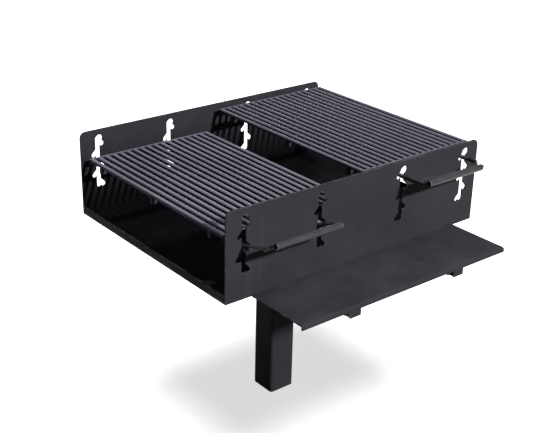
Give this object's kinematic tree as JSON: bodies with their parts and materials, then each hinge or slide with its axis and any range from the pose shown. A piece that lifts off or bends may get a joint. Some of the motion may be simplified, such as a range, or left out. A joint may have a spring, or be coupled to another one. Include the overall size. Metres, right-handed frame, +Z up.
{
  "type": "park grill on a post",
  "caption": "Open-ended park grill on a square post, with grates that lift in slotted walls by U-shaped handles, and a front shelf.",
  "frame": {"origin": "on the ground, at the centre of the post", "axes": "+Z up, +X along the firebox to the right as seen from the shelf's side, -Y to the front, where the shelf and the handles are"},
  "size_m": [0.914, 0.9243, 0.838],
  "materials": {
    "painted_steel": "heat-resistant black paint, satin, a little dusty",
    "black_bolt_steel": "black, satin",
    "grate_steel": "bare steel darkened by heat",
    "handle_steel": "black, satin",
    "grip_steel": "worn steel, darkened by use"
  },
  "bodies": {
    "frame": {"post_tube": "painted_steel", "post_base_cap": "painted_steel", "post_top_plate": "painted_steel", "front_wall": "painted_steel", "back_wall": "painted_steel", "floor_plate": "painted_steel", "left_end_lip": "painted_steel", "right_end_lip": "painted_steel", "shelf_plate": "painted_steel", "left_shelf_arm": "painted_steel", "left_shelf_arm_cap": "painted_steel", "right_shelf_arm": "painted_steel", "right_shelf_arm_cap": "painted_steel", "post_plate_front_left_bolt": "black_bolt_steel", "post_plate_front_left_nut": "black_bolt_steel", "post_plate_front_right_bolt": "black_bolt_steel", "post_plate_front_right_nut": "black_bolt_steel", "post_plate_back_right_bolt": "black_bolt_steel", "post_plate_back_right_nut": "black_bolt_steel", "post_plate_back_left_bolt": "black_bolt_steel", "post_plate_back_left_nut": "black_bolt_steel", "left_arm_front_bolt": "black_bolt_steel", "left_arm_front_nut": "black_bolt_steel", "left_arm_back_bolt": "black_bolt_steel", "left_arm_back_nut": "black_bolt_steel", "right_arm_front_bolt": "black_bolt_steel", "right_arm_front_nut": "black_bolt_steel", "right_arm_back_bolt": "black_bolt_steel", "right_arm_back_nut": "black_bolt_steel", "shelf_left_front_stud": "black_bolt_steel", "shelf_left_front_nut": "black_bolt_steel", "shelf_left_back_stud": "black_bolt_steel", "shelf_left_back_nut": "black_bolt_steel", "shelf_right_front_stud": "black_bolt_steel", "shelf_right_front_nut": "black_bolt_steel", "shelf_right_back_stud": "black_bolt_steel", "shelf_right_back_nut": "black_bolt_steel"},
    "left_grate_set": {"left_grate": "grate_steel", "left_outer_lift_rod": "grate_steel", "left_outer_rod_collar": "grate_steel", "left_inner_lift_rod": "grate_steel", "left_inner_rod_collar": "grate_steel", "left_handle": "handle_steel", "left_grip": "grip_steel"},
    "right_grate_set": {"right_grate": "grate_steel", "right_outer_lift_rod": "grate_steel", "right_outer_rod_collar": "grate_steel", "right_inner_lift_rod": "grate_steel", "right_inner_rod_collar": "grate_steel", "right_handle": "handle_steel", "right_grip": "grip_steel"}
  },
  "joints": [
    {"name": "left_grate_lift", "type": "slide", "parent": "frame", "child": "left_grate_set", "axis": [0, 0, 1], "range_m": [-0.0635, 0.0635]},
    {"name": "right_grate_lift", "type": "slide", "parent": "frame", "child": "right_grate_set", "axis": [0, 0, 1], "range_m": [-0.127, 0]}
  ]
}
